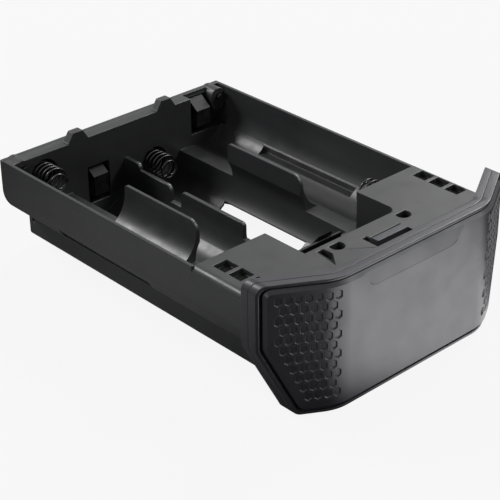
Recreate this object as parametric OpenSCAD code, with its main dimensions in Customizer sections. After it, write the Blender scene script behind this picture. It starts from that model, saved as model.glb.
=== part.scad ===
// Battery sled: a tray for four round cells side by side,
// a hollow contact block and a larger faceted grip cap.
// Sizes are in millimetres and +Z is up. Inside the modules x = 0 is the
// middle, y = 0 is the outer rear face, and z = 0 is the top of the block.

/* [Cells and bays] */
// diameter of one cell
cell_d = 14.5; // [13.8:0.1:14.7]
// length of one cell
cell_l = 50; // [48:0.1:51]
// gap kept round each cell
cell_gap = 0.25; // [0.2:0.01:0.4]
// height of the outer cells above the inner cells
bay_rise = 7.2; // [6.5:0.1:8]
// depth of the inner cell centres below the top
bay_depth = 12.1; // [11.8:0.1:12.6]
// thickness of the wall between the two inner cells
mid_wall = 1.0; // [0.8:0.1:1.4]
// wall between an inner and an outer bay where they pass closest
bay_web = 1.19; // [1:0.01:1.6]
// length of an inner bay past the cell
inner_room = 4.3; // [4.1:0.1:5]
// length of an outer bay past the cell
outer_room = 8.6; // [8.2:0.1:9.5]

/* [Tray] */
// side wall beside the outer cells
side_wall = 0.8; // [0.8:0.1:1.4]
// floor under the inner cells
floor_t = 0.8; // [0.7:0.1:1.4]
// thickness of the dividers that stand between inner and outer cells
div_t = 0.8; // [0.6:0.1:1]
// half width of the lower body
low_half = 24.7; // [24:0.1:25.4]
// depth of the wide upper body with its rounding
upper_h = 13.7; // [13.2:0.1:14.2]
// radius of the rounding under the wide upper body
under_r = 6.7; // [5.5:0.1:7.4]
// thickness of the rear wall with its cover
rear_t = 4.2; // [4:0.1:5]
// thickness of the rear cover
cover_t = 1.3; // [1:0.1:1.5]
// thickness of the wall in front of the inner cells
cross_t = 1.0; // [0.8:0.1:1.4]
// height of the two gussets on the rear rim
gusset_h = 2.2; // [1:0.1:3]
// depth of the gussets from front to back
gusset_t = 2.0; // [1:0.1:2.6]

/* [Contact block] */
// length of the block between the outer bays and the cap
block_l = 25.5; // [24:0.5:28]
// thickness of the block top plate
plate_t = 1.8; // [1.4:0.1:2.2]
// wall thickness of the hollow block
block_wall = 1.2; // [1:0.1:1.5]
// thickness of the bottom plate
bottom_t = 1.2; // [1:0.1:1.6]
// length of the open recess in the top plate
recess_l = 11.1; // [10:0.1:12]
// length of one contact pocket
pocket_l = 3.4; // [3:0.1:3.7]
// spacing of the contact pockets
pocket_step = 4.35; // [4.2:0.05:4.5]
// width of a contact pocket
pocket_w = 3.6; // [3:0.1:3.8]

/* [Grip cap] */
// half width of the cap
cap_half = 33.7; // [33.2:0.1:34.5]
// height of the cap above the block
cap_rise = 5.6; // [5:0.1:6.5]
// depth of the cap below the body
cap_drop = 2.65; // [2:0.05:4]
// half width of the cap at its bottom
cap_low = 27.3; // [26.5:0.1:28]
// height where the sides of the cap start to slant
cap_slant = -8.2; // [-10:0.1:-7]
// top corner radius of the cap
cap_r = 2.1; // [1.5:0.1:3]
// angle of the side facets
facet = 30.9; // [28:0.1:34]
// half width of the straight middle of the cap
mid_half = 17.7; // [17:0.1:19]
// thickness of the cap base
base_t = 1.6; // [1.4:0.05:2]
// depth of the cap ring
ring_t = 1.75; // [1.6:0.05:2]
// width of the cap ring
ring_w = 0.6; // [0.5:0.05:0.8]
// width of the gasket between ring and panel
gasket_w = 0.3; // [0.2:0.05:0.4]
// height of the panel above the ring
panel_up = 0.5; // [0.3:0.1:0.8]
// thickness of the front panel
panel_t = 2.0; // [1.8:0.1:2.2]
// width of the step round the face of the panel
panel_step = 0.7; // [0.5:0.1:0.9]

/* [Contacts] */
// thickness of the contact plates
plate_m = 0.6; // [0.5:0.1:0.8]
// thickness of a leaf contact
leaf_t = 0.4; // [0.3:0.05:0.5]
// width of a leaf contact
leaf_w = 4.0; // [3.5:0.1:4.6]
// distance from a leaf face to the wall behind it
leaf_out = 0.8; // [0.6:0.1:1]
// wire radius of the contact springs
wire_r = 0.25; // [0.2:0.01:0.3]
// outer radius of the contact springs
coil_r = 2.95; // [2.6:0.05:3.2]
// curls of the contact springs
coil_n = 5; // [4:1:6]
// length of a contact spring without its end spiral
coil_l = 6.7; // [6:0.1:7.2]
// length of the end spiral of a contact spring
tip_l = 1.6; // [1.2:0.1:2]

/* [Latch] */
// width of the latch
latch_w = 8.6; // [7:0.1:9]
// length of the latch along the sled
latch_l = 2.3; // [2:0.1:2.8]
// gap kept round the latch
latch_gap = 0.2; // [0.15:0.01:0.3]
// height of the latch above the block
latch_up = 0.4; // [0.3:0.1:0.6]

/* [Screws] */
// shank radius of the screws
screw_r = 0.75; // [0.6:0.05:0.9]
// head radius of the screws
head_r = 1.5; // [1.3:0.05:1.7]
// head height of the screws
head_h = 0.7; // [0.6:0.05:0.8]
// shank length of the screws
screw_l = 4.5; // [4:0.1:5]

/* [Hidden] */
$fn = 96;
bay_r = cell_d/2 + cell_gap;
inner_x = bay_r + mid_wall/2;
outer_x = inner_x + sqrt(pow(2*bay_r + bay_web, 2) - bay_rise*bay_rise);
inner_z = -bay_depth;
outer_z = inner_z + bay_rise;
half_w = outer_x + bay_r + side_wall;
body_low = inner_z - bay_r - floor_t;
inner_end = rear_t + cell_l + inner_room;
outer_end = rear_t + cell_l + outer_room;
base_s = outer_end + block_l;
seam_s = base_s + base_t;
ring_s = seam_s + ring_t;
front_s = ring_s + panel_up;
recess_s = outer_end + recess_l;
cap_bottom = body_low - cap_drop;
slant = atan((cap_half - cap_low)/(cap_slant - cap_bottom));
side_back = (cap_half - mid_half)*tan(facet);
turn_r = 8.05;
low_r = 1.4;
web_z = inner_z + 0.3;
div_out = outer_x - bay_r;
div_in = div_out - div_t;
div_top = outer_z + 1.6;
link_s = cover_t + plate_m;
seat_s = outer_end + 1.8;
cross_s = inner_end + cross_t;
latch_s = outer_end + 15.6;
latch_x = 1.2;
latch_low = -6.4;
latch_seat = body_low + 4;
hide = 0.02;
origin_y = front_s/2;
origin_z = -cap_bottom;

// puts the drawing frame on the middle of the lowest face
module place() translate([0, origin_y, origin_z]) children();

// a flat shape in x and z, drawn out between two distances from the rear face
module along(s0, s1) {
    translate([0, -s0, 0]) rotate([90, 0, 0]) linear_extrude(s1 - s0) children();
}

// a plan shape drawn up between two heights
module up(z0, z1) translate([0, 0, z0]) linear_extrude(z1 - z0) children();

// a block between two places, two distances from the rear face and two heights
module box(x0, x1, s0, s1, z0, z1) {
    translate([x0, -s1, z0]) cube([x1 - x0, s1 - s0, z1 - z0]);
}

// a rod along the sled
module rod(x, z, r, s0, s1) {
    translate([x, -s0, z]) rotate([90, 0, 0]) cylinder(r = r, h = s1 - s0);
}

// an upright rod
module post(x, s, r, z0, z1) translate([x, -s, z0]) cylinder(r = r, h = z1 - z0);

// the same shape on both sides
module both() {
    children();
    mirror([1, 0, 0]) children();
}

// section of the tray and block, drawn smaller by w
module body_section(w = 0) {
    x1 = half_w - w;
    x2 = low_half - w;
    round_x = half_w - under_r;
    round_z = under_r - upper_h;
    translate([-x1, round_z]) square([2*x1, -w - round_z]);
    translate([-round_x, w - upper_h]) square([2*round_x, upper_h - 2*w]);
    both() translate([round_x, round_z]) circle(r = under_r - w);
    translate([-x2, body_low + w + 1]) square([2*x2, 10]);
    translate([1 - x2, body_low + w]) square([2*x2 - 2, 10]);
    both() translate([x2 - 1, body_low + w + 1]) circle(r = 1);
}

// points of an arc
function arc_points(x, y, r, a0, a1, n) = [for (i = [0:n]) let (a = a0 + (a1 - a0)*i/n)
    [x + r*cos(a), y + r*sin(a)]];

// section of the cap, drawn smaller by w
module cap_section(w = 0) {
    x1 = cap_half - w;
    z1 = cap_rise - w;
    z2 = cap_bottom + w;
    r = cap_r - w/2;
    x3 = cap_low - w*tan(45 - slant/2) - low_r*tan(45 - slant/2);
    z3 = cap_slant + w*tan(slant/2);
    side = concat(arc_points(x3, z2 + low_r, low_r, -90, -slant, 6), [[x1, z3]],
        arc_points(x1 - r, z1 - r, r, 0, 90, 10));
    polygon(concat(side, [for (i = [len(side) - 1:-1:0]) [-side[i][0], side[i][1]]]));
}

// plan of everything behind a line that runs d in front of the cap seam
module behind(d = 0) {
    r = turn_r + d;
    far = cap_half + 10;
    arc = [for (i = [0:12]) let (a = facet*i/12)
        [mid_half + r*sin(a), turn_r - seam_s - r*cos(a)]];
    end = arc[12] + [far - arc[12][0], (far - arc[12][0])*tan(facet)];
    side = concat(arc, [end, [far, 5]]);
    polygon(concat(side, [for (i = [len(side) - 1:-1:0]) [-side[i][0], side[i][1]]]));
}

// a layer of the cap between two lines, with the section drawn smaller by w
module cap_layer(d0, d1, w = 0) {
    intersection() {
        along(seam_s - side_back - 8, seam_s + 6) cap_section(w);
        up(cap_bottom - 2, cap_rise + 2) difference() {
            behind(d1);
            behind(d0);
        }
    }
}

// what is cut off the end of a wall to round its upper corner; way is 1 where the wall goes on to the front
module corner_cut(x0, x1, s, way, z, r) {
    difference() {
        box(x0, x1, min(s, s + way*r) - 0.1, max(s, s + way*r), z - r, z + 0.1);
        translate([x0 - 1, -s - way*r, z - r]) rotate([0, 90, 0]) cylinder(r = r, h = x1 - x0 + 2);
    }
}

// room for the two cells of one side between two distances, open upward
module bay_pair(s0, s1, cut_webs) {
    rod(inner_x, inner_z, bay_r, s0, s1);
    box(mid_wall/2, div_in, s0, s1, inner_z, 5);
    rod(outer_x, outer_z, bay_r, s0, s1);
    box(div_out, outer_x + bay_r, s0, s1, outer_z, 5);
    box(div_in - 1, div_out + 1, s0, s1, div_top, 5);
    if (cut_webs) box(inner_x, outer_x, s0, s1, web_z, 5);
}

// the six screw places along the sled, rear and cap
module rear_places() {
    both() translate([half_w - 3.1, 0, -1.9]) children();
    both() translate([low_half - 5.1, 0, body_low + 3.2]) children();
}

// upright boss with round ends round an upper rear screw
module rear_boss(s0, s1) {
    rod(half_w - 3.1, -1.9, 2.1, s0, s1);
    rod(half_w - 3.1, -3.4, 2.1, s0, s1);
    box(half_w - 5.2, half_w - side_wall/2, s0, s1, -3.4, -1.9);
}

// places of the bottom plate screws
module bottom_places() {
    both() translate([low_half - 4.2, -outer_end - 4.5, 0]) children();
    both() translate([15.5, -base_s + 4, 0]) children();
}

// places of the cap screws
module cap_places() {
    both() translate([9, 0, -5]) children();
    both() translate([9, 0, -15]) children();
}

// leaf bump seen from the side: from the wall at s, outward by d, between heights
module leaf_bump(s, d, z0, z1) {
    polygon([[s, z1], [s + d, z1 - 2.2], [s + d, z0 + 1.6], [s, z0],
        [s, z0 + 0.5], [s + d - leaf_t, z0 + 2], [s + d - leaf_t, z1 - 2.6], [s, z1 - 0.5]]);
}

// a bent strip of one width; its side view is given as distance and height
module strip(x0, x1) {
    translate([x1, 0, 0]) rotate([90, 0, -90]) linear_extrude(x1 - x0) children();
}

module tray_shell() color([0.13, 0.13, 0.14]) place() {
    difference() {
        union() {
            intersection() {
                along(cover_t, seam_s) body_section();
                up(body_low - 1, 1) behind(-base_t);
            }
            for (x = [-inner_x - 4.9, inner_x + 4]) along(rear_t - gusset_t, rear_t + 0.3) translate([x, 0])
                polygon([[-2.7, -1], [-2.7, 0], [-1.3, gusset_h], [1.3, gusset_h], [2.7, 0], [2.7, -1]]);
            both() rear_boss(cover_t, rear_t + 3.4);
        }
        // room for the cells
        both() {
            bay_pair(rear_t, 22.5, true);
            bay_pair(22.4, 46, false);
            bay_pair(45.9, inner_end, true);
            rod(inner_x, inner_z, bay_r, inner_end - 1, inner_end);
            rod(outer_x, outer_z, bay_r, inner_end - 1, outer_end);
            box(div_out, outer_x + bay_r, inner_end - 1, outer_end, outer_z, 5);
            box(-1, outer_x, inner_end - 1, outer_end + 1, web_z, 5);
        }
        // steps of the wall between the inner cells
        box(-1, 1, rear_t, 9.3, inner_z + 3.8, 5);
        box(-1, 1, 9.3, 44, inner_z + 2.3, 5);
        box(-1, 1, 20, 23.5, inner_z - 1.4, 5);
        box(-1, 1, 43.8, inner_end, inner_z - 1.4, 5);
        // rounded ends of the dividers and steps
        both() corner_cut(div_in - 0.1, div_out + 0.1, 45.9, -1, div_top, 2.6);
        both() corner_cut(div_in - 0.1, div_out + 0.1, 22.5, 1, div_top, 0.8);
        corner_cut(-1, 1, 9.3, -1, inner_z + 3.8, 1.2);
        corner_cut(-1, 1, 20, -1, inner_z + 2.3, 1.6);
        corner_cut(-1, 1, 23.5, 1, inner_z + 2.3, 0.9);
        corner_cut(-1, 1, 43.8, -1, inner_z + 2.3, 0.9);
        // openings through the floor
        both() box(2.9, 13.2, 22.5, 48.5, body_low - 1, inner_z - 3);
        both() intersection() {
            box(half_w - 6.4, half_w, 19.3, 48.6, outer_z - 6.4, outer_z - 4.7);
            rod(outer_x, outer_z, bay_r + 2.1, 19, 49);
        }
        // hollows under the outer cells
        both() for (s = [8, 22, 36, 50]) box(17, low_half - block_wall, s, s + 12.6, body_low - 1, -14.6);
        // hollow of the block, open at the top and bottom for the plates
        intersection() {
            along(seat_s, seam_s) body_section(block_wall);
            up(body_low, 0) behind(-base_t - 1.6);
        }
        box(-div_out, div_out, cross_s + plate_m + 0.9, seat_s + 0.2, web_z - 5.2, 1);
        box(-div_out, div_out, cross_s, seat_s + 0.2, web_z, 1);
        intersection() {
            box(-half_w - 1, half_w + 1, outer_end, seam_s, -plate_t, 1);
            up(-5, 2) behind(-base_t);
        }
        intersection() {
            box(1 - low_half, low_half - 1, outer_end + 1, base_s, body_low - 1, body_low + bottom_t);
            up(-30, 0) behind(-base_t - 1.6);
        }
        // seats of the front springs and leaves in the outer bays
        rod(outer_x, outer_z, coil_r + 0.6, outer_end - 1, seat_s + 1);
        box(-outer_x - leaf_w/2 - 0.3, -outer_x + leaf_w/2 + 0.3, outer_end - 1, seat_s + 1, -11.5, -0.8 - plate_t);
        // seats of the inner front spring and leaf in the cross wall
        rod(-inner_x, inner_z, coil_r + 0.6, inner_end - 1, cross_s + 1);
        box(inner_x - leaf_w/2 - 0.3, inner_x + leaf_w/2 + 0.3, inner_end - 1, cross_s + 1, -17.5, -5);
        // link plate pocket behind the cross wall
        box(-inner_x - 4.4, inner_x + 4.4, cross_s, cross_s + plate_m, -17, 1);
        // rear windows and spring seats
        box(-inner_x - 2.95, -inner_x + 2.95, cover_t, rear_t + 1, inner_z - 4.2, inner_z + 4.8);
        difference() {
            box(outer_x - 3.2, outer_x + bay_r, cover_t, rear_t + 1, outer_z - 4.2, 4);
            rear_boss(cover_t - 0.1, rear_t + 1.1);
        }
        rod(inner_x, inner_z, coil_r + 0.6, cover_t, rear_t + 1);
        rod(-outer_x, outer_z, coil_r + 0.6, cover_t, rear_t + 1);
        // link pockets in the rear face
        box(-outer_x - 4.4, -inner_x + 4.4, cover_t - 1, link_s, inner_z - 4.6, outer_z + 4.4);
        box(inner_x - 4.4, outer_x + 4.4, cover_t - 1, link_s, inner_z - 4.6, outer_z + 4.4);
        // screw bores
        rear_places() rod(0, 0, screw_r, 0, cover_t + screw_l + 0.3);
        bottom_places() post(0, 0, screw_r, body_low, body_low + screw_l + 1);
        cap_places() rod(0, 0, screw_r + 0.1, base_s - 9, seam_s);
    }
    // bosses for the bottom screws with a rib to the next wall
    difference() {
        union() {
            bottom_places() post(0, 0, screw_r + 0.9, body_low + bottom_t, body_low + bottom_t + 4.6);
            both() box(low_half - 4.2, low_half - block_wall + 0.2, outer_end + 3.9, outer_end + 5.1,
                body_low + bottom_t, body_low + bottom_t + 4.6);
            both() box(14.9, 16.1, base_s - 4, base_s - 1.4, body_low + bottom_t, body_low + bottom_t + 4.6);
        }
        bottom_places() post(0, 0, screw_r, body_low, body_low + bottom_t + 4);
    }
}

module rear_cover() color([0.13, 0.13, 0.14]) place() {
    difference() {
        union() {
            along(0, cover_t) body_section();
            both() rear_boss(0, cover_t);
        }
        rear_places() rod(0, 0, screw_r + 0.1, -1, cover_t + 1);
        rear_places() rod(0, 0, head_r + 0.1, -1, head_h);
        // thumb relief along the lower edge
        box(-6, 6, -1, 0.4, body_low + 2, body_low + 5);
    }
}

module block_cover() color([0.13, 0.13, 0.14]) place() {
    difference() {
        union() {
            intersection() {
                along(outer_end, seam_s) body_section();
                up(-plate_t, 0) behind(-base_t);
            }
            // pocket under the recess
            box(-12.9, 14.6, outer_end + 0.2, recess_s + 1, web_z - 1, -plate_t);
            // guide of the latch
            box(latch_x - 1.2, latch_x + latch_w + 1.2, latch_s - 1.2, latch_s + latch_l + 1.2, latch_low + 1, -plate_t);
        }
        // open recess over the inner front contacts
        intersection() {
            box(-11.9, 13.6, outer_end - 1, recess_s, web_z, 1);
            union() {
                box(-12.9, 11.6, outer_end - 1, recess_s, web_z, 1);
                box(-12.9, 14.6, outer_end - 1, recess_s - 2, web_z, 1);
                post(11.6, recess_s - 2, 2, web_z, 1);
            }
        }
        // contact pockets
        for (i = [0:2]) {
            box(-half_w + 3.1, -half_w + 3.1 + pocket_w, outer_end + 2.6 + i*pocket_step,
                outer_end + 2.6 + i*pocket_step + pocket_l, -1.2, 1);
            box(half_w - 3.5, half_w - 0.4, outer_end + 2.9 + i*pocket_step,
                outer_end + 2.9 + i*pocket_step + pocket_l, -1.2, 1);
        }
        // round holes with a flat rear side
        for (x = [-5.3, 13.3]) intersection() {
            post(x, recess_s + 2.1, 1.6, -plate_t - 1, 1);
            box(x - 2, x + 2, recess_s + 1.2, recess_s + 5, -plate_t - 1, 1);
        }
        // three-cornered notch
        up(-0.9, 1) polygon([[-12, -recess_s - 1.2], [-8, -recess_s - 1.2], [-8, -recess_s - 3.2]]);
        // latch opening
        box(latch_x - latch_gap, latch_x + latch_w + latch_gap, latch_s - latch_gap,
            latch_s + latch_l + latch_gap, -8, 1);
        box(latch_x - 1.1, latch_x + latch_w + 0.8, latch_s - 1.1, latch_s + latch_l + 1.1, -1, 1);
    }
}

module bottom_plate() color([0.13, 0.13, 0.14]) place() {
    difference() {
        intersection() {
            box(1 - low_half, low_half - 1, outer_end + 1, base_s, body_low, body_low + bottom_t);
            up(-30, 0) behind(-base_t - 1.6);
        }
        bottom_places() post(0, 0, screw_r + 0.1, body_low - 1, body_low + bottom_t + 1);
        bottom_places() post(0, 0, head_r + 0.1, body_low - 1, body_low + head_h);
    }
    // seat of the latch spring
    difference() {
        post(latch_x + latch_w/2, latch_s + latch_l/2, 2.9, body_low + bottom_t, latch_seat + 1);
        post(latch_x + latch_w/2, latch_s + latch_l/2, 2.1, latch_seat, latch_seat + 2);
    }
}

module cap_base() color([0.12, 0.12, 0.13]) place() {
    difference() {
        cap_layer(-base_t, 0);
        cap_places() rod(0, 0, screw_r + 0.1, base_s - 9, seam_s + 1);
    }
}

module cap_ring() color([0.12, 0.12, 0.13]) place() {
    difference() {
        cap_layer(0, ring_t);
        cap_layer(-0.5, ring_t + 1, ring_w);
    }
}

module panel_gasket() color([0.05, 0.05, 0.05]) place() {
    difference() {
        cap_layer(0, ring_t - 0.3, ring_w);
        cap_layer(ring_t + panel_up - panel_t, ring_t, ring_w + gasket_w);
        cap_layer(-0.5, ring_t, ring_w + gasket_w + 1.4);
    }
}

module front_panel() color([0.12, 0.12, 0.13]) place() {
    face = ring_t + panel_up;
    edge = ring_w + gasket_w;
    difference() {
        union() {
            cap_layer(face - panel_t, ring_t - 0.15, edge);
            cap_layer(ring_t - 0.2, face, edge + panel_step);
            cap_places() rod(0, 0, screw_r + 1, seam_s, seam_s + face - 0.3);
        }
        cap_places() rod(0, 0, screw_r, seam_s - 1, ring_s - 0.4);
        // shallow dish under the top edge
        translate([0, -front_s, 0.7]) rotate([-4, 0, 0]) translate([-13.5, -3, 0]) cube([27, 3, 8]);
    }
}

module release_latch() color([0.12, 0.12, 0.13]) place() {
    difference() {
        union() {
            box(latch_x, latch_x + latch_w, latch_s, latch_s + latch_l, latch_low + 1, latch_up);
            box(latch_x - 0.8, latch_x + latch_w + 0.8, latch_s - 0.8, latch_s + latch_l + 0.8, latch_low, latch_low + 1);
        }
        translate([latch_x - 1, -latch_s, latch_up]) rotate([45, 0, 0]) translate([0, -0.4, -0.4]) cube([latch_w + 2, 0.8, 0.8]);
    }
}

// centre line of a wound wire: curls with their ends drawn flat
function coil_line(n, l, r, t) = [r*cos(360*n*t), r*sin(360*n*t), wire_r + (l - 2*wire_r)*t];

// end spiral: turns inward while it rises
function spiral_line(l, r, t) = let (q = r - (r - 1.1)*t)
    [q*cos(540*t), q*sin(540*t), wire_r + (l - 2*wire_r)*t];

// one unbroken tube of six sides along a list of points
module tube(p) {
    n = len(p);
    function unit(v) = v/norm(v);
    d = [for (i = [0:n - 1]) unit(p[min(i + 1, n - 1)] - p[max(i - 1, 0)])];
    pts = [for (i = [0:n - 1]) let (u = unit(cross(d[i], [0, 0, 1])), v = cross(d[i], u))
        for (j = [0:5]) p[i] + wire_r*(u*cos(60*j) + v*sin(60*j))];
    faces = concat([[for (j = [0:5]) j]],
        [for (i = [0:n - 2]) for (j = [0:5])
            [i*6 + j, (i + 1)*6 + j, (i + 1)*6 + (j + 1)%6, i*6 + (j + 1)%6]],
        [[for (j = [5:-1:0]) (n - 1)*6 + j]]);
    polyhedron(points = pts, faces = faces, convexity = 6);
}

// least gap of a line to itself, past one curl
function near(p, far) = min([for (i = [0:2:len(p) - 1]) for (j = [i + far:2:len(p) - 1]) norm(p[i] - p[j])]) - 2*wire_r;

coil_points = [for (i = [0:8*coil_n]) coil_line(coil_n, coil_l, coil_r - wire_r, i/(8*coil_n))];
tip_points = [for (i = [0:14]) spiral_line(tip_l, coil_r - wire_r, i/14)];
latch_points = [for (i = [0:8*5]) coil_line(5, latch_low - latch_seat, 1.6, i/40)];
echo(coil_gap = near(coil_points, 6), tip_gap = near(tip_points, 6), latch_spring_gap = near(latch_points, 6));

// turns a form that rises from z = 0 so that it stands out of a wall at s
module stand(x, s, z, side) translate([x, -s, z]) rotate([side*90, 0, 0]) children();

module contact_spring_1() color([0.75, 0.75, 0.72]) place() stand(-outer_x, link_s, outer_z, 1) tube(coil_points);
module contact_spring_2() color([0.75, 0.75, 0.72]) place() stand(-inner_x, cross_s, inner_z, -1) tube(coil_points);
module contact_spring_3() color([0.75, 0.75, 0.72]) place() stand(inner_x, link_s, inner_z, 1) tube(coil_points);
module contact_spring_4() color([0.75, 0.75, 0.72]) place() stand(outer_x, seat_s, outer_z, -1) tube(coil_points);

module spring_tip_1() color([0.75, 0.75, 0.72]) place() stand(-outer_x, link_s + coil_l, outer_z, 1) tube(tip_points);
module spring_tip_2() color([0.75, 0.75, 0.72]) place() stand(-inner_x, cross_s - coil_l, inner_z, -1) tube(tip_points);
module spring_tip_3() color([0.75, 0.75, 0.72]) place() stand(inner_x, link_s + coil_l, inner_z, 1) tube(tip_points);
module spring_tip_4() color([0.75, 0.75, 0.72]) place() stand(outer_x, seat_s - coil_l, outer_z, -1) tube(tip_points);

module latch_spring() color([0.75, 0.75, 0.72]) place()
    translate([latch_x + latch_w/2, -latch_s - latch_l/2, latch_seat]) tube(latch_points);

module contact_leaf_1() color([0.75, 0.72, 0.6]) place()
    strip(-outer_x - leaf_w/2, -outer_x + leaf_w/2) mirror([1, 0, 0]) translate([-seat_s, 0])
    leaf_bump(0, 1.8 + leaf_out + 0.4, -11.2, -2.9);

module contact_leaf_2() color([0.75, 0.72, 0.6]) place()
    strip(-inner_x - leaf_w/2, -inner_x + leaf_w/2) leaf_bump(link_s, rear_t + leaf_out - link_s, inner_z - 4, inner_z + 4.6);

module contact_leaf_3() color([0.75, 0.72, 0.6]) place()
    strip(inner_x - leaf_w/2, inner_x + leaf_w/2) mirror([1, 0, 0]) translate([-cross_s, 0])
    leaf_bump(0, cross_t + leaf_out, -16.4, -9.2);

module contact_leaf_4() color([0.75, 0.72, 0.6]) place()
    strip(outer_x - leaf_w/2, outer_x + leaf_w/2) leaf_bump(link_s, rear_t + leaf_out - link_s, outer_z - 4, outer_z + 3.8);

// a plate that joins an inner and an outer place
module link_plate(s) {
    difference() {
        box(inner_x - 4.2, outer_x + 4.2, s, s + plate_m, inner_z - 4.4, outer_z + 4.2);
        box(inner_x + 5, outer_x + 5, s - 1, s + 1 + plate_m, inner_z - 5, outer_z - 4.4);
        box(inner_x - 5, outer_x - 5, s - 1, s + 1 + plate_m, inner_z + 4.9, outer_z + 5);
    }
}

module rear_link_34() color([0.75, 0.72, 0.6]) place() link_plate(cover_t);
module rear_link_12() color([0.75, 0.72, 0.6]) place() mirror([1, 0, 0]) link_plate(cover_t);

module front_link_23() color([0.75, 0.72, 0.6]) place()
    box(-inner_x - 4.2, inner_x + 4.2, cross_s, cross_s + plate_m, inner_z - 4.8, web_z + 1.8);

// strip from an outer front contact to the pockets of its side
module output_strip() {
    box(outer_x - 4, outer_x + 4, seat_s, seat_s + plate_m, -11, -plate_t);
    box(outer_x - 1, outer_x + 6.4, seat_s, outer_end + 16, -plate_t - plate_m, -plate_t);
}

module output_strip_neg() color([0.75, 0.72, 0.6]) place() output_strip();
module output_strip_pos() color([0.75, 0.72, 0.6]) place() mirror([1, 0, 0]) output_strip();

// small plates on the floors of the contact pockets
module output_contacts() color([0.8, 0.66, 0.3]) place() {
    for (i = [0:2]) {
        box(-half_w + 3.4, -half_w + 2.8 + pocket_w, outer_end + 2.9 + i*pocket_step,
            outer_end + 2.3 + i*pocket_step + pocket_l, -1.2, -1);
        box(half_w - 3.2, half_w - 0.7, outer_end + 3.2 + i*pocket_step,
            outer_end + 2.6 + i*pocket_step + pocket_l, -1.2, -1);
    }
}

// one screw with its head at the start and its point along the sled
module screw() {
    rod(0, 0, head_r, 0, head_h);
    rod(0, 0, screw_r, head_h - hide, head_h + screw_l);
}

module rear_cover_screws() color([0.5, 0.5, 0.52]) place() rear_places() screw();

module bottom_screws() color([0.5, 0.5, 0.52]) place()
    bottom_places() translate([0, 0, body_low]) rotate([-90, 0, 0]) screw();

module cap_screws() color([0.5, 0.5, 0.52]) place()
    cap_places() translate([0, -base_s + 1.6 + head_h, 0]) screw();

tray_shell();
rear_cover();
block_cover();
bottom_plate();
cap_base();
cap_ring();
front_panel();
panel_gasket();
release_latch();
latch_spring();
contact_spring_1();
contact_spring_2();
contact_spring_3();
contact_spring_4();
spring_tip_1();
spring_tip_2();
spring_tip_3();
spring_tip_4();
contact_leaf_1();
contact_leaf_2();
contact_leaf_3();
contact_leaf_4();
rear_link_12();
rear_link_34();
front_link_23();
output_strip_pos();
output_strip_neg();
output_contacts();
rear_cover_screws();
bottom_screws();
cap_screws();
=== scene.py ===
import math

import bmesh
import bpy
from mathutils import Matrix, Vector


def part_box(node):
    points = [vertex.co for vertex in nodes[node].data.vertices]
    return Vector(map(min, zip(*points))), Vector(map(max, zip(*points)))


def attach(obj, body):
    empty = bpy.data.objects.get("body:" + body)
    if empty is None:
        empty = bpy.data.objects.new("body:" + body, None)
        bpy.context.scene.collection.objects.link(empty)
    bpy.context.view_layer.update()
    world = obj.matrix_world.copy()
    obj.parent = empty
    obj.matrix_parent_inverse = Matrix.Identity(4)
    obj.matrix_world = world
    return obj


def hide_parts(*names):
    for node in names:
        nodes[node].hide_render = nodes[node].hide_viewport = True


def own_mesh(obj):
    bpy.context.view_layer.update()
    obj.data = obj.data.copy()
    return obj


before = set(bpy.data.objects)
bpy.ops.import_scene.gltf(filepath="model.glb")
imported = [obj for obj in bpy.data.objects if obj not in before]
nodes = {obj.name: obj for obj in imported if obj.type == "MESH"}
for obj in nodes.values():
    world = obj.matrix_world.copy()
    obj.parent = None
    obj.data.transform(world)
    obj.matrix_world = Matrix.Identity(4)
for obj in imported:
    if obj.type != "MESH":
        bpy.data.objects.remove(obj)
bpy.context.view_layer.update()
mm = 0.001
print("frame loaded:", len(nodes), "nodes")

# places in this script: x, distance from the rear face, height over the block top, in millimetres
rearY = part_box("rear_cover")[1].y
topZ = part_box("block_cover")[1].z


def place(x, s, z):
    return Vector((x * mm, rearY - s * mm, topZ + z * mm))


cameraSettings = {
    "lens": 112.54,  # lens and place were solved from straight edges of the sled
    "place": (-0.192779, -0.212257, 0.169821),
    "azimuth": -42.137,
    "elevation": 29.475,
    "roll": -0.732,
}


def makeCamera(settings):
    data = bpy.data.cameras.new("photoCamera")
    data.lens = settings["lens"]
    data.sensor_width = 36
    data.clip_start = 0.01
    data.clip_end = 20
    camera = bpy.data.objects.new("photoCamera", data)
    bpy.context.scene.collection.objects.link(camera)
    turn = Matrix.Rotation(math.radians(settings["azimuth"]), 4, "Z")
    tilt = Matrix.Rotation(math.radians(90 - settings["elevation"]), 4, "X")
    roll = Matrix.Rotation(math.radians(settings["roll"]), 4, "Z")
    camera.matrix_world = Matrix.Translation(settings["place"]) @ turn @ tilt @ roll
    bpy.context.scene.camera = camera


lightSettings = {
    "right": {"place": (0.95, 0.30, 0.80), "size": 0.6, "power": 8.6},
    "front": {"place": (0.60, -0.47, 0.68), "size": 0.3, "power": 3.0},
    "rear": {"place": (-0.30, 0.72, 0.66), "size": 0.35, "power": 5.6},
    "left": {"place": (-0.60, -0.10, 0.16), "size": 0.25, "power": 0.4},
    "aim": (0, 0, 0.012),
    "ambient": 0.02,  # strength of the world for the light that falls on the sled
    "glossy": 0.55,  # share of the world that the gloss picks up
}
floorSettings = {"half": 6, "drop": 0.0002, "tone": 0.4, "rough": 0.9, "gloss": 0.1, "glowShare": 0.9}
# glowing patches of the floor that only the gloss of the sled picks up: they paint reflections on the sled and shed
# no light
glowSettings = [
    {"place": (0.016, -0.086, 0), "inner": 0.034, "outer": 0.053, "strength": 3.8},
    {"place": (-0.085, 0.018, 0), "inner": 0.02, "outer": 0.085, "strength": 0.4},
]


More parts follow.
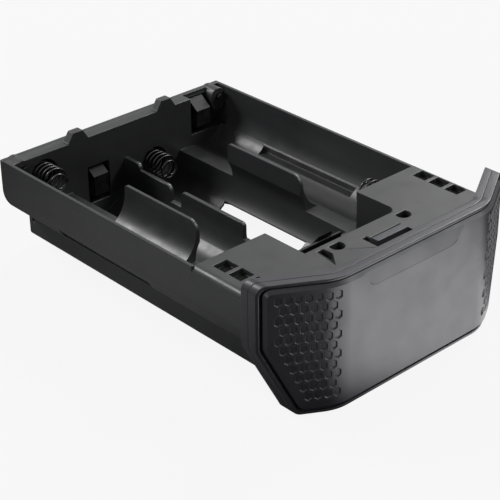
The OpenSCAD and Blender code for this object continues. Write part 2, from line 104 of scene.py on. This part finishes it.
def makeLights(settings):
    for name in ("right", "front", "rear", "left"):
        one = settings[name]
        data = bpy.data.lights.new(name + "Light", "AREA")
        data.shape = "DISK"
        data.size = one["size"]
        data.energy = one["power"]
        light = bpy.data.objects.new(name + "Light", data)
        bpy.context.scene.collection.objects.link(light)
        aim = Vector(settings["aim"]) - Vector(one["place"])
        light.rotation_euler = aim.to_track_quat("-Z", "Y").to_euler()
        light.location = one["place"]
    world = bpy.data.worlds.new("studio")
    bpy.context.scene.world = world
    world.use_nodes = True
    tree = world.node_tree
    back = tree.nodes["Background"]
    back.inputs["Color"].default_value = (1, 1, 1, 1)
    path = tree.nodes.new("ShaderNodeLightPath")
    seen = tree.nodes.new("ShaderNodeMath")
    seen.operation = "MAXIMUM"
    tree.links.new(path.outputs["Is Camera Ray"], seen.inputs[0])
    tree.links.new(path.outputs["Is Transmission Ray"], seen.inputs[1])
    strength = tree.nodes.new("ShaderNodeMapRange")
    strength.inputs["To Min"].default_value = settings["ambient"]
    strength.inputs["To Max"].default_value = 1.0
    glossy = tree.nodes.new("ShaderNodeMath")
    glossy.operation = "MAXIMUM"
    tree.links.new(seen.outputs[0], glossy.inputs[0])
    share = tree.nodes.new("ShaderNodeMath")
    share.operation = "MULTIPLY"
    share.inputs[1].default_value = settings["glossy"]
    tree.links.new(path.outputs["Is Glossy Ray"], share.inputs[0])
    tree.links.new(share.outputs[0], glossy.inputs[1])
    tree.links.new(glossy.outputs[0], strength.inputs["Value"])
    tree.links.new(strength.outputs["Result"], back.inputs["Strength"])


# the camera and the gloss see a pale glow mixed into the floor, and all other light meets the plain floor
def makeFloor(settings, patches):
    bm = bmesh.new()
    bmesh.ops.create_grid(bm, x_segments=1, y_segments=1, size=settings["half"])
    floor = addMesh(bm, "floor")
    floor.data.transform(Matrix.Translation((0, 0, -settings["drop"])))
    material = bpy.data.materials.new("paleFloor")
    material.use_nodes = True
    tree = material.node_tree
    shader = tree.nodes["Principled BSDF"]
    shader.inputs["Base Color"].default_value = (*[settings["tone"]] * 3, 1)
    shader.inputs["Roughness"].default_value = settings["rough"]
    shader.inputs["Specular IOR Level"].default_value = settings["gloss"]
    glow = tree.nodes.new("ShaderNodeEmission")
    path = tree.nodes.new("ShaderNodeLightPath")
    coordinates = tree.nodes.new("ShaderNodeTexCoord")
    total = path.outputs["Is Camera Ray"]
    for patch in patches:
        distance = tree.nodes.new("ShaderNodeVectorMath")
        distance.operation = "DISTANCE"
        distance.inputs[1].default_value = patch["place"]
        tree.links.new(coordinates.outputs["Object"], distance.inputs[0])
        fade = tree.nodes.new("ShaderNodeMapRange")
        fade.interpolation_type = "SMOOTHSTEP"
        fade.inputs["From Min"].default_value = patch["outer"]
        fade.inputs["From Max"].default_value = patch["inner"]
        fade.inputs["To Max"].default_value = patch["strength"]
        tree.links.new(distance.outputs["Value"], fade.inputs["Value"])
        picked = tree.nodes.new("ShaderNodeMath")
        picked.operation = "MULTIPLY_ADD"
        tree.links.new(path.outputs["Is Glossy Ray"], picked.inputs[0])
        tree.links.new(fade.outputs["Result"], picked.inputs[1])
        tree.links.new(total, picked.inputs[2])
        total = picked.outputs[0]
    tree.links.new(total, glow.inputs["Strength"])
    share = tree.nodes.new("ShaderNodeMath")
    share.operation = "MULTIPLY"
    share.inputs[1].default_value = settings["glowShare"]
    lit = tree.nodes.new("ShaderNodeMath")
    lit.operation = "MAXIMUM"
    tree.links.new(path.outputs["Is Camera Ray"], lit.inputs[0])
    tree.links.new(path.outputs["Is Glossy Ray"], lit.inputs[1])
    tree.links.new(lit.outputs[0], share.inputs[0])
    mix = tree.nodes.new("ShaderNodeMixShader")
    tree.links.new(share.outputs[0], mix.inputs["Fac"])
    tree.links.new(shader.outputs[0], mix.inputs[1])
    tree.links.new(glow.outputs[0], mix.inputs[2])
    tree.links.new(mix.outputs[0], tree.nodes["Material Output"].inputs["Surface"])
    floor.data.materials.append(material)


def addMesh(bm, name):
    mesh = bpy.data.meshes.new(name)
    bm.to_mesh(mesh)
    bm.free()
    piece = bpy.data.objects.new(name, mesh)
    bpy.context.scene.collection.objects.link(piece)
    return piece


bpy.context.scene.view_settings.view_transform = "Standard"
makeCamera(cameraSettings)
makeLights(lightSettings)
makeFloor(floorSettings, glowSettings)
print("camera, lights and floor are in place")

# the size of the grain is in millimetres
finishes = {
    "shellPlastic": {"color": (0.044, 0.045, 0.047), "rough": 0.38, "spread": 0.06, "grain": 0.22, "bump": 0.12},
    "capPlastic": {"color": (0.045, 0.045, 0.055), "rough": 0.38, "spread": 0.05, "grain": 0.18, "bump": 0.10},
    "gasketRubber": {"color": (0.016, 0.016, 0.017), "rough": 0.7, "spread": 0.05, "grain": 0.15, "bump": 0.05},
    # the plated output contacts are painted near-black: painted shade of the deep pockets they sit in
    "paintedShadePlate": {
        "color": (0.006, 0.006, 0.006), "rough": 0.8, "spread": 0.05, "grain": 0.1, "bump": 0.05, "gloss": 0.1,
    },
}
noiseSpan = (0.3, 0.7)  # nearly all values of a noise lie in here
# sizes in millimetres, and how far the tint goes either way
plasticSettings = {"cloud": 14, "darker": 0.93, "lighter": 1.07, "patch": 4, "relief": 0.05}


def noiseAt(tree, coordinates, size, detail):
    noise = tree.nodes.new("ShaderNodeTexNoise")
    noise.inputs["Scale"].default_value = 1 / (size * mm)
    noise.inputs["Detail"].default_value = detail
    tree.links.new(coordinates.outputs["Object"], noise.inputs["Vector"])
    return noise


def ranged(tree, source, low, high):
    scale = tree.nodes.new("ShaderNodeMapRange")
    scale.inputs["From Min"].default_value = noiseSpan[0]
    scale.inputs["From Max"].default_value = noiseSpan[1]
    scale.inputs["To Min"].default_value = low
    scale.inputs["To Max"].default_value = high
    tree.links.new(source, scale.inputs["Value"])
    return scale.outputs["Result"]


def tintBetween(tree, factor, color, darker, lighter):
    tint = tree.nodes.new("ShaderNodeMix")
    tint.data_type = "RGBA"
    tint.inputs["A"].default_value = (*[c * darker for c in color], 1)
    tint.inputs["B"].default_value = (*[c * lighter for c in color], 1)
    tree.links.new(ranged(tree, factor, 0, 1), tint.inputs["Factor"])
    return tint.outputs["Result"]


def addRelief(tree, source, shader, strength, height):
    bump = tree.nodes.new("ShaderNodeBump")
    bump.inputs["Strength"].default_value = strength
    bump.inputs["Distance"].default_value = height * mm
    tree.links.new(source, bump.inputs["Height"])
    tree.links.new(bump.outputs["Normal"], shader.inputs["Normal"])


def mouldedPlastic(name, finish, settings):
    material = bpy.data.materials.new(name)
    material.use_nodes = True
    tree = material.node_tree
    shader = tree.nodes["Principled BSDF"]
    shader.inputs["Specular IOR Level"].default_value = finish.get("gloss", 0.5)
    coordinates = tree.nodes.new("ShaderNodeTexCoord")
    cloud = noiseAt(tree, coordinates, settings["cloud"], 3)
    tint = tintBetween(tree, cloud.outputs["Fac"], finish["color"], settings["darker"], settings["lighter"])
    tree.links.new(tint, shader.inputs["Base Color"])
    patches = noiseAt(tree, coordinates, settings["patch"], 4)
    low, high = finish["rough"] - finish["spread"], finish["rough"] + finish["spread"]
    tree.links.new(ranged(tree, patches.outputs["Fac"], low, high), shader.inputs["Roughness"])
    grain = noiseAt(tree, coordinates, finish["grain"], 2)
    addRelief(tree, grain.outputs["Fac"], shader, finish["bump"], settings["relief"])
    return material


metals = {
    "springWire": {"color": (0.08, 0.08, 0.08), "rough": 0.3},
    "contactSheet": {"color": (0.042, 0.042, 0.043), "rough": 0.48},
    "darkScrew": {"color": (0.10, 0.10, 0.105), "rough": 0.32},
}
metalSettings = {
    "film": 1.5, "darker": 0.85, "lighter": 1.1, "smoother": 0.06, "rougher": 0.08,
    "drawn": 0.12, "bump": 0.08, "relief": 0.03,
}


def platedMetal(name, finish, settings):
    material = bpy.data.materials.new(name)
    material.use_nodes = True
    tree = material.node_tree
    shader = tree.nodes["Principled BSDF"]
    shader.inputs["Metallic"].default_value = 1.0
    coordinates = tree.nodes.new("ShaderNodeTexCoord")
    film = noiseAt(tree, coordinates, settings["film"], 4)
    tint = tintBetween(tree, film.outputs["Fac"], finish["color"], settings["darker"], settings["lighter"])
    tree.links.new(tint, shader.inputs["Base Color"])
    low, high = finish["rough"] - settings["smoother"], finish["rough"] + settings["rougher"]
    tree.links.new(ranged(tree, film.outputs["Fac"], low, high), shader.inputs["Roughness"])
    drawn = noiseAt(tree, coordinates, settings["drawn"], 2)
    addRelief(tree, drawn.outputs["Fac"], shader, settings["bump"], settings["relief"])
    return material


materials = {name: mouldedPlastic(name, finish, plasticSettings) for name, finish in finishes.items()}
materials.update({name: platedMetal(name, finish, metalSettings) for name, finish in metals.items()})
print("finishes are ready")


def smoothShade(piece, angle=30):
    mesh = piece.data
    mesh.shade_smooth()
    mesh.set_sharp_from_angle(angle=math.radians(angle))
    weighted = piece.modifiers.new("weightedNormals", "WEIGHTED_NORMAL")
    weighted.keep_sharp = True


def finishPiece(piece, material, slot, body, *stoodFor):
    piece.data.materials.clear()
    piece.data.materials.append(materials[material])
    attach(piece, body)
    if stoodFor:
        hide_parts(*stoodFor)
    return piece


# a closed solid between two outlines with the same number of points
def between(first, last):
    bm = bmesh.new()
    rings = [[bm.verts.new(place(*point)) for point in ring] for ring in (first, last)]
    bm.faces.new(rings[0])
    bm.faces.new(rings[1])
    for i in range(len(first)):
        j = (i + 1) % len(first)
        bm.faces.new((rings[0][i], rings[0][j], rings[1][j], rings[1][i]))
    bmesh.ops.recalc_face_normals(bm, faces=bm.faces)
    return addMesh(bm, "tool")


# a closed solid from an outline; "s" runs it from back to front, "z" runs it upwards
def prism(points, low, high, direction):
    if direction == "s":
        return between([(x, low, z) for x, z in points], [(x, high, z) for x, z in points])
    return between([(x, s, low) for x, s in points], [(x, s, high) for x, s in points])


def combine(piece, tool, operation):
    modifier = piece.modifiers.new("cut", "BOOLEAN")
    modifier.operation = operation
    modifier.solver = "EXACT"
    modifier.object = tool
    bpy.context.view_layer.update()
    graph = bpy.context.evaluated_depsgraph_get()
    mesh = bpy.data.meshes.new_from_object(piece.evaluated_get(graph))
    piece.modifiers.clear()
    piece.data = mesh
    bpy.data.objects.remove(tool)


def rectangle(a0, a1, b0, b1):
    return [(a0, b0), (a1, b0), (a1, b1), (a0, b1)]


latchSettings = {
    "left": 1.2,
    "right": 9.8,
    "rear": 78.4,
    "front": 80.7,
    "gap": 0.2,
    "sink": 1.1,  # width of the sunk field left, behind and in front of the latch
    "sinkRight": 0.8,
    "depth": 1.2,
    "over": 0.05,  # how far a filling reaches into the plate
    "fillStart": 0.3,  # where the filling behind the latch starts, from its left end
    "rampFoot": 0.15,  # room between the foot of the ramp and the gap
    "edge": 0.09,
}
notchSettings = {
    "old": (-12.1, -7.9, 74.9, 77.3),  # the plain notch of the solid, filled first
    "oldDepth": 1.3,
    "outline": [(-9.99, 75.0), (-8.21, 75.1), (-7.95, 77.48), (-11.01, 81.37)],
    "depths": [0.0, -1.25, -1.6, 0.0],
}


# fills the sunk field behind and right of the latch, puts a ramp left of it, and cuts the four-cornered notch
def coverShape(latch, notch):
    x0, x1, s0, s1 = latch["left"], latch["right"], latch["rear"], latch["front"]
    gap, over, bottom = latch["gap"], latch["over"], -latch["depth"]
    left, rear, front = x0 - latch["sink"], s0 - latch["sink"] - over, s1 + latch["sink"] + over
    right = x1 + latch["sinkRight"] + over
    ramp = [(left - over, bottom), (left - over, 0), (left, 0), (x0 - gap - latch["rampFoot"], bottom)]
    steps = [
        ("UNION", prism(rectangle(*notch["old"]), -notch["oldDepth"], 0, "z")),
        ("UNION", prism(rectangle(x0 + latch["fillStart"], right, rear, s0 - gap), bottom, 0, "z")),
        ("UNION", prism(rectangle(x1 + gap, right, s0 - gap - over, front), bottom, 0, "z")),
        ("UNION", prism(ramp, rear, front, "s")),
    ]
    bm = bmesh.new()
    low = [bm.verts.new(place(x, s, z)) for (x, s), z in zip(notch["outline"], notch["depths"])]
    high = [bm.verts.new(place(x, s, 1)) for x, s in notch["outline"]]
    for face in ((low[0], low[1], low[2]), (low[0], low[2], low[3]), high):
        bm.faces.new(face)
    for i in range(4):
        j = (i + 1) % 4
        bm.faces.new((low[i], low[j], high[j], high[i]))
    bmesh.ops.recalc_face_normals(bm, faces=bm.faces)
    steps.append(("DIFFERENCE", addMesh(bm, "tool")))
    return steps


# outlines are x and z, spans are s; all of it is mirrored for the other side
traySettings = {
    "flare": [(13.0, -17.4), (13.25, -17.55), (17.5, -20.6), (13.0, -20.6)],
    "flareSpan": (22.3, 48.7),
    "trough": (8, -12.1),
    "cutRings": [(22.6, 7.85), (17.6, 11.3)],  # s and radius where the cut under the floor starts and ends
    "cutAngles": range(-20, 45, 8),
    "cutFloor": -20.9,
    "cutCorners": [(17.6, -20.75), (17.6, -21.5)],
    "hood": [(28.1, -9.5), (30.1, -9.5), (29.9, -9.9), (28.9, -11.08), (28.4, -11.08)],
    "hoodSpan": (19.25, 48.65),
    "lipTop": [(a, 7.44) for a in range(-6, -43, -6)] + [(-45, 7.46), (-48, 7.53), (-52, 7.64)],  # angle and radius
    "lipUnder": [(a, 8.4) for a in range(-52, 0, 9)],
    "lipSpan": (22.32, 48.68),
}


def roundTrough(trough, angle, radius):
    return trough[0] + radius * math.sin(math.radians(angle)), trough[1] - radius * math.cos(math.radians(angle))


# thin edges at the floor openings, a floor that reaches further into them, and hoods over the side slots
def trayShape(t):
    lowest = t["cutCorners"][-1][1]
    rings = []
    for s, radius in t["cutRings"]:
        arc = [roundTrough(t["trough"], angle, radius) for angle in t["cutAngles"]]
        arc = [(x, max(z, t["cutFloor"])) for x, z in arc]
        rings.append([(x, s, z) for x, z in [(arc[0][0], lowest), *arc, *t["cutCorners"]]])
    lip = [roundTrough(t["trough"], angle, radius) for angle, radius in t["lipTop"] + t["lipUnder"]]
    steps = []
    for side in (1, -1):
        flare, hood, lipSide = [[(side * x, z) for x, z in outline] for outline in (t["flare"], t["hood"], lip)]
        steps.append(("DIFFERENCE", prism(flare, *t["flareSpan"], "s")))
        steps.append(("DIFFERENCE", between(*[[(side * x, s, z) for x, s, z in ring] for ring in rings])))
        steps.append(("UNION", prism(hood, *t["hoodSpan"], "s")))
        steps.append(("UNION", prism(lipSide, *t["lipSpan"], "s")))
    return steps


def reshaped(node, steps):
    piece = bpy.data.objects.new("shape", nodes[node].data.copy())
    bpy.context.scene.collection.objects.link(piece)
    for operation, tool in steps:
        combine(piece, tool, operation)
    mesh = piece.data
    bpy.data.objects.remove(piece)
    return mesh


edgeSettings = {"merge": 0.002, "flatAngle": 0.4, "sharpAngle": 28, "segments": 2, "softSegments": 8, "near": 0.05}


def bevelEdges(bm, edges, width, segments):
    bmesh.ops.bevel(
        bm, geom=edges, offset=width * mm, offset_type="OFFSET", segments=segments, profile=0.5,
        affect="EDGES", clamp_overlap=False, material=-1,
    )


# a copy of a solid with its moulded edges rounded; softEdge is the wider rounding of its upper left edge
def roundedCopy(node, name, width, lowest=-99, rearmost=-99, steps=(), softEdge=0):
    e = edgeSettings
    bm = bmesh.new()
    bm.from_mesh(reshaped(node, steps))
    bmesh.ops.remove_doubles(bm, verts=bm.verts, dist=e["merge"] * mm)
    bmesh.ops.dissolve_limit(
        bm, angle_limit=math.radians(e["flatAngle"]), verts=bm.verts, edges=bm.edges, delimit={"NORMAL"},
    )
    if softEdge:
        leftmost = min(v.co.x for v in bm.verts) + e["near"] * mm
        highest = topZ - e["near"] * mm
        rim = [edge for edge in bm.edges if all(v.co.x < leftmost and v.co.z > highest for v in edge.verts)]
        bevelEdges(bm, rim, softEdge, e["softSegments"])
    limit = math.radians(e["sharpAngle"])
    sharp = []
    for edge in bm.edges:
        middle = (edge.verts[0].co + edge.verts[1].co) / 2
        seen = middle.z > topZ + lowest * mm and middle.y < rearY - rearmost * mm
        if seen and len(edge.link_faces) == 2 and edge.calc_face_angle(0) > limit:
            sharp.append(edge)
    bevelEdges(bm, sharp, width, e["segments"])
    many = [f for f in bm.faces if len(f.verts) > 4]
    bmesh.ops.triangulate(bm, faces=many, quad_method="BEAUTY", ngon_method="EAR_CLIP")
    print(name, "has", len(bm.faces), "faces")
    piece = addMesh(bm, name)
    smoothShade(piece)
    return piece


# the front panel is made flat, with u along its face, and is then bent round the two corners of the cap
capLow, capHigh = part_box("cap_base")
panelSettings = {
    "half": capHigh.x / mm,
    "top": (capHigh.z - topZ) / mm,
    "bottom": (capLow.z - topZ) / mm,
    "lowHalf": 27.3,  # half width at the bottom
    "slantTop": -8.2,  # where the slanted sides start
    "middle": 17.7,  # half width of the straight middle
    "facet": math.radians(30.9),
    "bend": 8.05,  # bend radius at the seam
    "seam": (rearY - capLow.y) / mm,
    "inset": 0.9,
    "chamfer": 0.68,
    "backDepth": 0.3,
    "chamferDepth": 1.6,
    "faceDepth": 2.25,
    "topRound": 1.65,
    "slantRound": 0.8,
    "lowRound": 1.2,
    "roundSegments": 6,
    "bendStrips": 14,
    "crease": 24,  # edges sharper than this stay sharp
}
hexSettings = {
    "width": 1.45,
    "side": 0.63,
    "tip": 1.05,
    "depth": 0.3,
    "taper": 0.76,
    "columnPitch": 1.89,
    "rowPitch": 2.103,
    "rows": 11,
    "firstRow": 2.3,
    "innerColumn": 20.65,
    "columns": 7,
    "margin": 1.6,
}
dishSettings = {
    "center": -1.0,
    "topHalf": 14.2,
    "lowHalf": 11.4,
    "top": 4.6,
    "low": 0.8,
    "depth": 0.17,
    "round": 1.4,
    "flare": 1.5,  # how much wider the cutter is at its top, which slants the edge of the dish
    "start": 0.03,  # depth at its lower edge
}


# where a point of the flat panel ends up, with d as its distance in front of the seam
def bent(u, z, d, p):
    face = p["bend"] + p["faceDepth"]
    arcLength = face * p["facet"]
    side = math.copysign(1, u)
    beyond = abs(u) - p["middle"]
    r = p["bend"] + d
    if beyond <= 0:
        return place(u, p["seam"] + d, z)
    angle = min(beyond / face, p["facet"])
    rest = max(0, beyond - arcLength)
    x = p["middle"] + r * math.sin(angle) + rest * math.cos(angle)
    s = p["seam"] - p["bend"] + r * math.cos(angle) - rest * math.sin(angle)
    return place(side * x, s, z)


# the u of a place on a facet whose x is known
def flatU(x, p):
    face = p["bend"] + p["faceDepth"]
    corner = p["middle"] + face * math.sin(p["facet"])
    return p["middle"] + face * p["facet"] + (x - corner) / math.cos(p["facet"])


def slantEdge(z, inset, p):
    slope = (p["half"] - p["lowHalf"]) / (p["slantTop"] - p["bottom"])
    tilt = math.atan(slope)
    x = min(p["half"] - inset, p["half"] - (p["slantTop"] - z) * slope - inset / math.cos(tilt))
    return flatU(x, p)


def roundCorner(bm, verts, radius, segments):
    bmesh.ops.bevel(bm, geom=verts, offset=radius, offset_type="OFFSET", segments=segments, profile=0.5,
                    affect="VERTICES", clamp_overlap=False, material=-1)


def flatOutline(bm, p):
    inset = p["inset"]
    low, high = p["bottom"] + inset, p["top"] - inset
    bend = p["slantTop"] + 0.2 * inset
    upper = slantEdge(bend + 5, inset, p)  # above the bend the side is upright
    corners = [(slantEdge(low, inset, p), low), (upper, bend), (upper, high)]
    corners += [(-u, z) for u, z in reversed(corners)]
    rounds = [p["lowRound"], p["slantRound"], p["topRound"]]
    rounds += rounds[::-1]
    verts = [bm.verts.new((u, z, p["backDepth"])) for u, z in corners]
    bm.faces.new(verts)
    for vert, radius in zip(verts, rounds):
        roundCorner(bm, [vert], radius, p["roundSegments"])
    return list(bm.faces)


def raiseFaces(bm, faces, height):
    grown = bmesh.ops.extrude_face_region(bm, geom=faces)["geom"]
    bmesh.ops.translate(bm, vec=(0, 0, height), verts=[v for v in grown if isinstance(v, bmesh.types.BMVert)])
    return [f for f in grown if isinstance(f, bmesh.types.BMFace)]


def hexPrism(bm, u, z, h, p):
    points = [(0, -h["tip"]), (h["width"] / 2, -h["side"]), (h["width"] / 2, h["side"]),
              (0, h["tip"]), (-h["width"] / 2, h["side"]), (-h["width"] / 2, -h["side"])]
    rings = []
    for depth, scale in ((p["faceDepth"] - h["depth"], h["taper"]), (p["faceDepth"] + h["depth"], 2 - h["taper"])):
        rings.append([bm.verts.new((u + x * scale, z + y * scale, depth)) for x, y in points])
    bm.faces.new(rings[0][::-1])
    bm.faces.new(rings[1])
    pairs = [(ring[i], ring[(i + 1) % 6]) for ring in rings for i in range(6)]
    bmesh.ops.bridge_loops(bm, edges=[bm.edges.get(pair) or bm.edges.new(pair) for pair in pairs])


def makeHexCutter(p, h):
    bm = bmesh.new()
    for row in range(h["rows"]):
        z = h["firstRow"] - row * h["rowPitch"]
        shift = 0.5 * (row % 2)
        for column in range(h["columns"]):
            u = h["innerColumn"] + (column + shift) * h["columnPitch"]
            if u + h["margin"] > slantEdge(z, p["inset"] + p["chamfer"], p):
                continue
            hexPrism(bm, u, z, h, p)
            hexPrism(bm, -u, z, h, p)
    bmesh.ops.recalc_face_normals(bm, faces=bm.faces)
    return addMesh(bm, "hexCutter")


# a wedge with its lower corners rounded, tilted so that it cuts deeper towards the top
def makeDishCutter(p, dish):
    bm = bmesh.new()
    half, low = dish["topHalf"], dish["lowHalf"]
    outline = ((-low, dish["low"]), (low, dish["low"]), (half, dish["top"] + 1), (-half, dish["top"] + 1))
    verts = [bm.verts.new((dish["center"] + u, z, 0)) for u, z in outline]
    bm.faces.new(verts)
    roundCorner(bm, verts[:2], dish["round"], p["roundSegments"])
    raiseFaces(bm, list(bm.faces), 2)
    for vert in bm.verts:
        if vert.co.z > 1:
            vert.co.x = dish["center"] + (vert.co.x - dish["center"]) * dish["flare"]
    bmesh.ops.recalc_face_normals(bm, faces=bm.faces)
    tilt = math.atan2(dish["depth"], dish["top"] - dish["low"])
    bmesh.ops.translate(bm, vec=(0, -dish["low"], 0), verts=bm.verts)
    bmesh.ops.rotate(bm, cent=(0, 0, 0), matrix=Matrix.Rotation(-tilt, 3, "X"), verts=bm.verts)
    bmesh.ops.translate(bm, vec=(0, dish["low"], p["faceDepth"] - dish["start"]), verts=bm.verts)
    return addMesh(bm, "dishCutter")


def makeFrontPanel(p, h, dish):
    bm = bmesh.new()
    faces = flatOutline(bm, p)
    top = raiseFaces(bm, faces, p["chamferDepth"] - p["backDepth"])
    bmesh.ops.inset_region(bm, faces=top, thickness=p["chamfer"], depth=0, use_even_offset=True)
    rise = (0, 0, p["faceDepth"] - p["chamferDepth"])
    bmesh.ops.translate(bm, vec=rise, verts=list({v for f in top for v in f.verts}))
    bmesh.ops.recalc_face_normals(bm, faces=bm.faces)
    panel = addMesh(bm, "frontPanel")
    for tool in (makeHexCutter(p, h), makeDishCutter(p, dish)):
        combine(panel, tool, "DIFFERENCE")
    bm = bmesh.new()
    bm.from_mesh(panel.data)
    face = p["bend"] + p["faceDepth"]
    for side in (1, -1):
        for strip in range(p["bendStrips"] + 1):
            u = p["middle"] + face * p["facet"] * strip / p["bendStrips"]
            bmesh.ops.bisect_plane(bm, geom=bm.verts[:] + bm.edges[:] + bm.faces[:], dist=1e-5,
                                   plane_co=(side * u, 0, 0), plane_no=(1, 0, 0))
    for vert in bm.verts:
        vert.co = bent(vert.co.x, vert.co.y, vert.co.z, p)
    bmesh.ops.recalc_face_normals(bm, faces=bm.faces)
    bm.to_mesh(panel.data)
    bm.free()
    smoothShade(panel, p["crease"])
    print("front panel has", len(panel.data.polygons), "faces")
    return panel


frontPanel = makeFrontPanel(panelSettings, hexSettings, dishSettings)
finishPiece(frontPanel, "capPlastic", "cap_plastic", "sled", "front_panel")

# wound wire, drawn along the same lines as the solids
springSettings = {
    "wire": 0.25,  # wire radius of the solids, which places the line
    "drawn": 0.21,  # wire radius that is drawn
    "radius": 2.95,
    "curls": 5,
    "length": 6.7,
    "tip": 1.6,
    "tipInner": 1.1,
    "tipTurns": 1.5,
    "perCurl": 28,
}
springRows = [("1", 1), ("2", -1), ("3", 1), ("4", -1)]  # number, and 1 where the wall is behind it


def tubeAlong(points, radius, name):
    curve = bpy.data.curves.new(name, "CURVE")
    curve.dimensions = "3D"
    curve.bevel_depth = radius
    curve.bevel_resolution = 3
    curve.use_fill_caps = True
    spline = curve.splines.new("POLY")
    spline.points.add(len(points) - 1)
    for point, co in zip(spline.points, points):
        point.co = (*co, 1)
    holder = bpy.data.objects.new(name + "Line", curve)
    bpy.context.scene.collection.objects.link(holder)
    bpy.context.view_layer.update()
    graph = bpy.context.evaluated_depsgraph_get()
    mesh = bpy.data.meshes.new_from_object(holder.evaluated_get(graph))
    bpy.data.objects.remove(holder)
    mesh.name = name
    tube = bpy.data.objects.new(name, mesh)
    bpy.context.scene.collection.objects.link(tube)
    mesh.shade_smooth()
    return tube


# side is 1 where the line runs towards the cap, and inner is the radius at its end
def woundPoints(middleX, start, middleZ, side, s, curls, length, inner):
    count = int(curls * s["perCurl"])
    outer = s["radius"] - s["wire"]
    points = []
    for i in range(count + 1):
        t = i / count
        r = outer - (outer - inner) * t
        angle = 2 * math.pi * curls * t
        rise = s["wire"] + (length - 2 * s["wire"]) * t
        x, z = middleX + r * math.cos(angle), middleZ + r * math.sin(angle) * -side
        points.append(place(x, start + side * rise, z))
    return points


def makeSprings(s):
    for number, side in springRows:
        low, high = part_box("contact_spring_" + number)
        tipLow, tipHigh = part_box("spring_tip_" + number)
        middleX, middleZ = (low.x + high.x) / 2 / mm, ((low.z + high.z) / 2 - topZ) / mm
        wallY, tipY = (high.y, tipHigh.y) if side == 1 else (low.y, tipLow.y)
        wall, tipStart = (rearY - wallY) / mm, (rearY - tipY) / mm
        coilLine = woundPoints(middleX, wall, middleZ, side, s, s["curls"], s["length"], s["radius"] - s["wire"])
        coil = tubeAlong(coilLine, s["drawn"] * mm, "contactCoil" + number)
        finishPiece(coil, "springWire", "spring_steel", "sled", "contact_spring_" + number)
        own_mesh(coil)
        tipLine = woundPoints(middleX, tipStart, middleZ, side, s, s["tipTurns"], s["tip"], s["tipInner"])
        tip = tubeAlong(tipLine, s["drawn"] * mm, "coilTip" + number)
        finishPiece(tip, "springWire", "spring_steel", "tip_" + number, "spring_tip_" + number)


latchSpringSettings = {"wire": 0.25, "drawn": 0.22, "curls": 5, "perCurl": 24, "keep": 0.82}


def makeLatchSpring(s):
    low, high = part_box("latch_spring")
    middle = (low + high) / 2
    count = s["curls"] * s["perCurl"]
    r = (high.x - low.x) / 2 - s["wire"] * mm
    points = []
    for i in range(count + 1):
        angle = 2 * math.pi * s["curls"] * i / count
        z = low.z + s["wire"] * mm + (high.z - low.z - 2 * s["wire"] * mm) * i / count
        points.append(Vector((middle.x + r * math.cos(angle), middle.y - r * math.sin(angle), z)))
    coil = tubeAlong(points, s["drawn"] * mm, "latchCoil")
    finishPiece(coil, "springWire", "spring_steel", "sled", "latch_spring")
    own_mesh(coil)


makeSprings(springSettings)
makeLatchSpring(latchSpringSettings)
print("springs are wound")

# edges below "lowest" or behind "rearmost" are hidden and stay as they are
moulded = {
    "tray_shell": {"name": "trayShell", "width": 0.14, "rearmost": 1.4, "steps": trayShape(traySettings)},
    "rear_cover": {"name": "rearCover", "width": 0.18},
    "block_cover": {
        "name": "blockCover", "width": 0.1, "lowest": -1.25, "softEdge": 1.5,
        "steps": coverShape(latchSettings, notchSettings),
    },
    "bottom_plate": {"name": "bottomPlate", "width": 0.12},
    "cap_base": {"name": "capBase", "width": 0.12},
    "cap_ring": {"name": "capRing", "width": 0.16},
    "panel_gasket": {"name": "panelGasket", "width": 0.12},
}
pieceFinish = {
    "cap_base": ("capPlastic", "cap_plastic"),
    "cap_ring": ("capPlastic", "cap_plastic"),
    "panel_gasket": ("gasketRubber", "gasket_rubber"),
}
for node, settings in moulded.items():
    material, slot = pieceFinish.get(node, ("shellPlastic", "shell_plastic"))
    finishPiece(roundedCopy(node, **settings), material, slot, "sled", node)
latch = roundedCopy("release_latch", "releaseLatch", latchSettings["edge"])
finishPiece(latch, "capPlastic", "shell_plastic", "latch", "release_latch")

cadMetal = {
    "contactSheet": ["contact_leaf_", "rear_link_", "front_link_", "output_strip_"],
    # near-black contacts: painted shade in the pockets
    "paintedShadePlate": ["output_contacts"],
    "darkScrew": ["rear_cover_screws", "bottom_screws", "cap_screws"],
}
for material, starts in cadMetal.items():
    for node, piece in nodes.items():
        if any(node.startswith(start) for start in starts):
            for slot in piece.material_slots:
                slot.material = materials[material]
            if not piece.material_slots:
                piece.data.materials.append(materials[material])
print("pieces are dressed")
